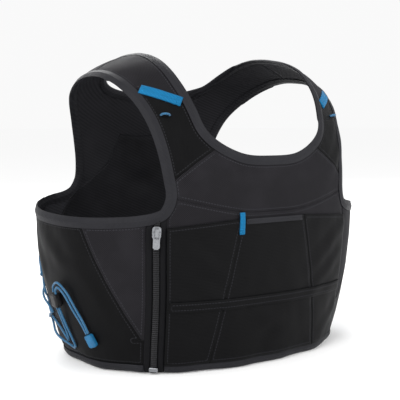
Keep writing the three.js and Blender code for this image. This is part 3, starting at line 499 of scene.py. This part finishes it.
CHARCOAL = knit("charcoal_knit", colour=0x1f1e21, inner=0x262629, pitch=1.7, contrast=0.5, pattern="holes",
                rough=0.66, sheen=0.012, stitch_colour=0x2d2d31)
BLACK = knit("black_knit", colour=0x0b0b0c, inner=0x202023, pitch=1.2, contrast=0.4, pattern="plain",
             rough=0.52, sheen=0.01, stitch_colour=0x222225)
POCKET = knit("pocket_knit", colour=0x0b0b0c, inner=0x1c1c1f, pitch=1.3, contrast=0.45, pattern="ribs",
              rough=0.56, sheen=0.01, stitch_colour=0x242428)
BINDING = knit("binding_tape", colour=0x232326, inner=0x242427, pitch=1.1, contrast=0.4,
               pattern="cross_ribs", rough=0.48, sheen=0.012, stitch=False)
NET = knit("lace_net", colour=0x28282b, inner=0x303034, pitch=2.4, contrast=0.8, pattern="holes",
           rough=0.7, sheen=0.01)
TAPE = knit("zip_tape_cloth", colour=0x101012, inner=0x161619, pitch=0.9, contrast=0.45, pattern="ribs",
            rough=0.6, sheen=0.01, stitch=False)
WEBBING = knit("blue_webbing", colour=0x135f89, inner=0x115478, pitch=1.2, contrast=0.35,
               pattern="cross_ribs", rough=0.5, sheen=0.02, stitch=False)
CORD = cord_cover("blue_cord", 0x13628d)
BLUE_PLASTIC = plastic("blue_plastic", 0x11577e)
LOCK_PLASTIC = plastic("black_plastic", 0x101012)
SILVER = metal("zip_silver", 0x97999d)
COIL = coil("zip_coil", 0x1c1c1e)

# Camera at the photograph's angle to the front view, on the wearer's right.
CAMERA_AZIMUTH, CAMERA_RISE, CAMERA_DISTANCE, LENS = math.radians(35), math.radians(5), 0.9, 78
aim = Vector((0, 0, -0.141))
away = Vector((-math.sin(CAMERA_AZIMUTH) * math.cos(CAMERA_RISE),
               -math.cos(CAMERA_AZIMUTH) * math.cos(CAMERA_RISE), math.sin(CAMERA_RISE)))
camera = bpy.data.objects.new("camera", bpy.data.cameras.new("camera"))
collection.objects.link(camera)
camera.location = aim + away * CAMERA_DISTANCE
camera.rotation_euler = (-away).to_track_quat("-Z", "Y").to_euler()
camera.data.lens = LENS
camera.data.clip_start = 0.02
bpy.context.scene.camera = camera

# Route of the free tails, the same rows as in part.mjs: the middle line from the lock to the end tab.
TAIL_DIAMETER = 2.2
LOCK_LEVEL = 0.207 * CROWN_HEIGHT
TAIL_ROUTE = [
    {"ahead": -3.3, "up": 7.3, "apart": 2.2, "height": 5.3},
    {"ahead": -5, "up": 12, "apart": 2.3, "height": 5.4},
    {"ahead": -12, "up": 16, "apart": 2.4, "height": 5.6},
    {"ahead": -21, "up": 10, "apart": 2.5, "height": 5},
    {"ahead": -28, "up": -5, "apart": 2.4, "height": 4},
    {"ahead": -34, "up": -18, "apart": 1.8, "height": 3.8},
    {"ahead": -37, "up": -26.9, "apart": 1.3, "height": 4.3},
]


def tail_points(place, side):
    rows = []
    for row in TAIL_ROUTE:
        z = np.array([LOCK_LEVEL + row["up"]], float)
        depth = tapered(CHEST_FRONT_DEPTH, HEM_FRONT_DEPTH, z)[0]
        share = (1 - abs(row["ahead"] / depth) ** PLAN_ROUNDNESS) ** (1 / PLAN_ROUNDNESS)
        rows.append((-tapered(CHEST_HALF_WIDTH, HEM_HALF_WIDTH, z)[0] * share, row["ahead"], z[0]))
    foot = np.array(rows)
    normal = outward(foot)
    middle = foot + normal * np.array([[row["height"]] for row in TAIL_ROUTE])
    points = []
    for i, p in enumerate(middle):
        before, after = middle[max(i - 1, 0)], middle[min(i + 1, len(middle) - 1)]
        beside = np.cross(after - before, normal[i])
        points.append(p + beside / np.linalg.norm(beside) * place * TAIL_ROUTE[i]["apart"])
    return (np.array(points) * (side, 1, 1) - (0, 0, SHOULDER_SEAT)) / 1000


def smooth_line(points, steps):
    """Centripetal curve through the points, as three.js draws it."""
    ends = [2 * points[0] - points[1], *points, 2 * points[-1] - points[-2]]
    line = []
    for i in range(len(points) - 1):
        p0, p1, p2, p3 = ends[i:i + 4]
        d0, d1, d2 = [np.linalg.norm(b - a) ** 0.5 for a, b in ((p0, p1), (p1, p2), (p2, p3))]
        m1 = ((p1 - p0) / d0 - (p2 - p0) / (d0 + d1) + (p2 - p1) / d1) * d1
        m2 = ((p2 - p1) / d1 - (p3 - p1) / (d1 + d2) + (p3 - p2) / d2) * d1
        for k in range(steps):
            t = k / steps
            square, cube = 3 * (p2 - p1) - 2 * m1 - m2, 2 * (p1 - p2) + m1 + m2
            line.append(p1 + m1 * t + square * t ** 2 + cube * t ** 3)
    line.append(points[-1])
    return np.array(line)


for side_name, side in (("right", 1), ("left", -1)):
    tab = fine_piece(f"end_tab_{side_name}", 2, BLUE_PLASTIC, reseat=False, fold=False)
    for cord_name, place in (("front", -1), ("back", 1)):
        line = smooth_line(tail_points(place, side), 5)
        curve = bpy.data.curves.new(f"tail_{cord_name}_{side_name}_cord", "CURVE")
        curve.dimensions = "3D"
        curve.bevel_depth = TAIL_DIAMETER / 2000
        curve.bevel_resolution = 4
        curve.use_fill_caps = True
        spline = curve.splines.new("POLY")
        spline.points.add(len(line) - 1)
        spline.points.foreach_set("co", np.hstack([line, np.ones((len(line), 1))]).ravel())
        spline.use_smooth = True
        curve.materials.append(CORD)
        tail = bpy.data.objects.new(f"tail_{cord_name}_{side_name}_cord", curve)
        collection.objects.link(tail)
        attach(tail, "vest")
        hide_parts(f"tail_{cord_name}_{side_name}")

# Cloth pieces: node, levels of subdivision, material, slot and how far the edge closes up to its neighbour.
CLOTH = [
    ("front_yoke", 3, CHARCOAL, "stretch_charcoal", 0.25),
    ("strap_pocket_right", 3, BLACK, "stretch_black", 0.25),
    ("strap_pocket_left", 3, BLACK, "stretch_black", 0.25),
    ("shoulder_right", 3, CHARCOAL, "stretch_charcoal", 0.25),
    ("shoulder_left", 3, CHARCOAL, "stretch_charcoal", 0.25),
    ("back_wing_right", 3, CHARCOAL, "stretch_charcoal", 0.25),
    ("back_wing_left", 3, CHARCOAL, "stretch_charcoal", 0.25),
    ("nape_panel", 3, CHARCOAL, "stretch_charcoal", 0.25),
    ("back_panel", 2, BLACK, "stretch_black", 0.25),
    ("front_base", 2, CHARCOAL, "stretch_charcoal", 0.25),
    ("gusset_right", 3, CHARCOAL, "stretch_charcoal", 0.25),
    ("gusset_left", 2, CHARCOAL, "stretch_charcoal", 0.25),
    ("side_panel_right", 3, BLACK, "stretch_black", 0.25),
    ("side_panel_left", 2, BLACK, "stretch_black", 0.25),
    ("lace_panel_right", 3, NET, "net", 0.25),
    ("lace_panel_left", 2, NET, "net", 0.25),
    ("chest_pocket_right", 3, POCKET, "stretch_black", 0.25),
    ("chest_pocket_left", 3, POCKET, "stretch_black", 0.25),
    ("chest_pocket_centre", 3, POCKET, "stretch_black", 0.25),
    ("pocket_hem", 2, BINDING, "edge_binding", 0.0),
    ("pocket_band", 2, POCKET, "stretch_black", 0.0),
    ("nape_piping", 2, BINDING, "edge_binding", 0.0),
    ("armhole_binding_right", 3, BINDING, "edge_binding", 1.9),
    ("armhole_binding_left", 3, BINDING, "edge_binding", 1.9),
    ("neck_binding", 3, BINDING, "edge_binding", 1.4),
    ("hem_binding", 2, BINDING, "edge_binding", 0.4),
    ("zip_tape_front", 2, TAPE, "zip_tape", 0.3),
    ("zip_tape_side", 2, TAPE, "zip_tape", 0.3),
    ("zip_chain", 3, COIL, "zip_chain", 0.1),
    ("strap_tab_right", 2, WEBBING, "blue_trim", 0.0),
    ("strap_tab_left", 2, WEBBING, "blue_trim", 0.0),
    ("pocket_tab", 2, WEBBING, "blue_trim", 0.0),
    ("nape_tab", 2, WEBBING, "blue_trim", 0.0),
]
for node, levels, material, slot, grow in CLOTH:
    fine_piece(node, levels, material, grow=grow)
for side_name in ("right", "left"):
    for node in ("strap_loop", "lace_under", "lace_over"):
        fine_piece(f"{node}_{side_name}", 2, CORD, reseat=False, swell=0.17)
    fine_piece(f"cord_lock_{side_name}", 2, LOCK_PLASTIC, reseat=False, fold=False)
for node in ("zip_slider", "zip_pull", "zip_stop"):
    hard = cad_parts[node]
    hard.data.materials.clear()
    hard.data.materials.append(SILVER)
    bevel = hard.modifiers.new("Soft edges", "BEVEL")
    bevel.width = 0.00012
    bevel.segments = 2


# Floor, light and surroundings.
def studio_floor():
    mesh = bpy.data.meshes.new("floor")
    half, level = 40.0, cad_box[0][2] - 0.0014
    corners = [(-half, -half, level), (half, -half, level), (half, half, level), (-half, half, level)]
    mesh.from_pydata(corners, [], [(0, 1, 2, 3)])
    floor = bpy.data.objects.new("floor", mesh)
    collection.objects.link(floor)
    s = Shader("floor_white")
    mesh.materials.append(s.finish([0.99, 0.99, 0.99, 1.0], 1.0, gloss=0.0))


def studio_light(name, place, size, power):
    data = bpy.data.lights.new(name, "AREA")
    data.size = size
    data.energy = power
    light = bpy.data.objects.new(name, data)
    collection.objects.link(light)
    light.location = place
    light.rotation_euler = (aim - Vector(place)).to_track_quat("-Z", "Y").to_euler()


studio_floor()
studio_light("key", (-1.5, -0.9, 1.1), 0.9, 26)
studio_light("fill", (0.9, -1.5, 0.5), 1.2, 12)
studio_light("back", (0.5, 1.5, 1.0), 1.0, 16)
world = bpy.data.worlds.new("surroundings")
bpy.context.scene.world = world
world.use_nodes = True
world.node_tree.nodes["Background"].inputs[0].default_value = (1, 1, 1, 1)
world.node_tree.nodes["Background"].inputs[1].default_value = 0.95
bpy.context.scene.view_settings.view_transform = "Standard"
